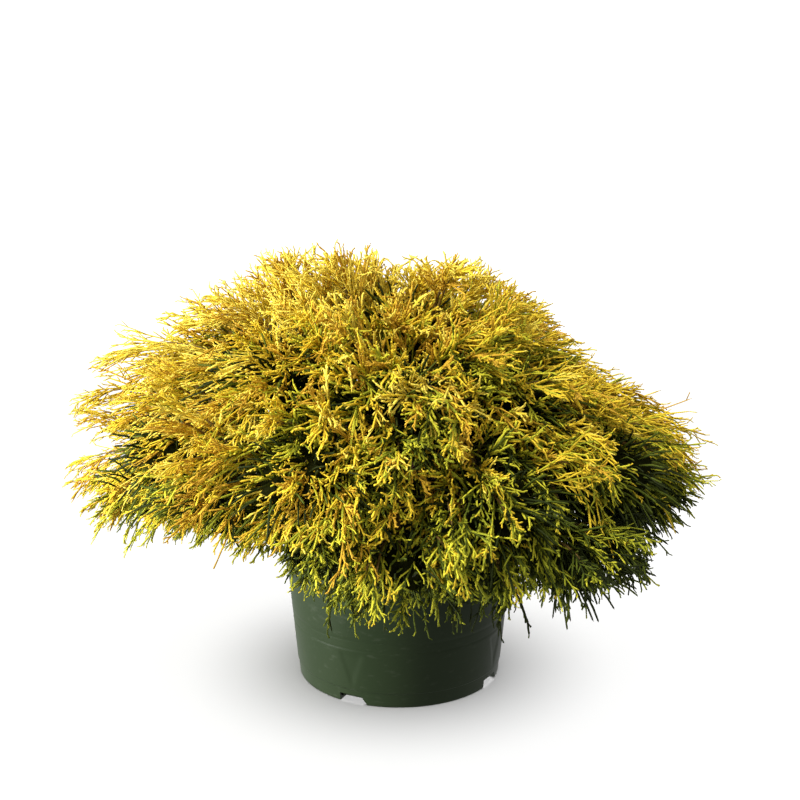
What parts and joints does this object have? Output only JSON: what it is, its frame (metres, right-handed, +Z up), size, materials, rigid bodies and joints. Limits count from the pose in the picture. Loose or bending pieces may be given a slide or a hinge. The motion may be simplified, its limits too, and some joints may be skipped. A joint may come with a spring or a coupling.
{
  "type": "potted golden mop sawara cypress",
  "caption": "Weeping dwarf conifer with golden thread-like foliage, a drooping mound over a round plastic nursery pot.",
  "frame": {"origin": "centre of the pot's flat underside", "axes": "+Z up along the pot's axis; the side that the picture shows faces -Y, and +X is to its right"},
  "size_m": [0.6381, 0.5686, 0.4134],
  "materials": {
    "pot_plastic": "dark green moulded plastic, satin",
    "potting_mix": "moist bark and peat mix, matte",
    "bark": "thin reddish brown bark, matte",
    "gold_foliage": "golden yellow scale leaves, matte",
    "green_foliage": "shaded green scale leaves, matte"
  },
  "bodies": {
    "root": {"pot": "pot_plastic", "soil": "potting_mix", "stem": "bark", "bough_shoulder_1": "bark", "bough_shoulder_2": "bark", "bough_shoulder_3": "bark", "bough_shoulder_4": "bark", "bough_shoulder_5": "bark", "bough_shoulder_6": "bark", "bough_shoulder_7": "bark", "bough_flank_1": "bark", "bough_flank_2": "bark", "bough_flank_3": "bark", "bough_flank_4": "bark", "bough_flank_5": "bark", "bough_flank_6": "bark", "bough_flank_7": "bark", "bough_flank_8": "bark", "bough_skirt_1": "bark", "bough_skirt_2": "bark", "bough_skirt_3": "bark", "bough_skirt_4": "bark", "bough_skirt_5": "bark", "bough_skirt_6": "bark", "bough_skirt_7": "bark", "bough_skirt_8": "bark", "foliage_top": "gold_foliage", "foliage_shoulder_1": "gold_foliage", "foliage_shoulder_2": "gold_foliage", "foliage_shoulder_3": "gold_foliage", "foliage_shoulder_4": "gold_foliage", "foliage_shoulder_5": "gold_foliage", "foliage_shoulder_6": "gold_foliage", "foliage_shoulder_7": "gold_foliage", "foliage_flank_1": "gold_foliage", "foliage_flank_2": "gold_foliage", "foliage_flank_3": "gold_foliage", "foliage_flank_4": "gold_foliage", "foliage_flank_5": "gold_foliage", "foliage_flank_6": "gold_foliage", "foliage_flank_7": "gold_foliage", "foliage_flank_8": "gold_foliage", "foliage_skirt_1": "green_foliage", "foliage_skirt_2": "green_foliage", "foliage_skirt_3": "green_foliage", "foliage_skirt_4": "green_foliage", "foliage_skirt_5": "green_foliage", "foliage_skirt_6": "green_foliage", "foliage_skirt_7": "green_foliage", "foliage_skirt_8": "green_foliage"}
  },
  "joints": []
}
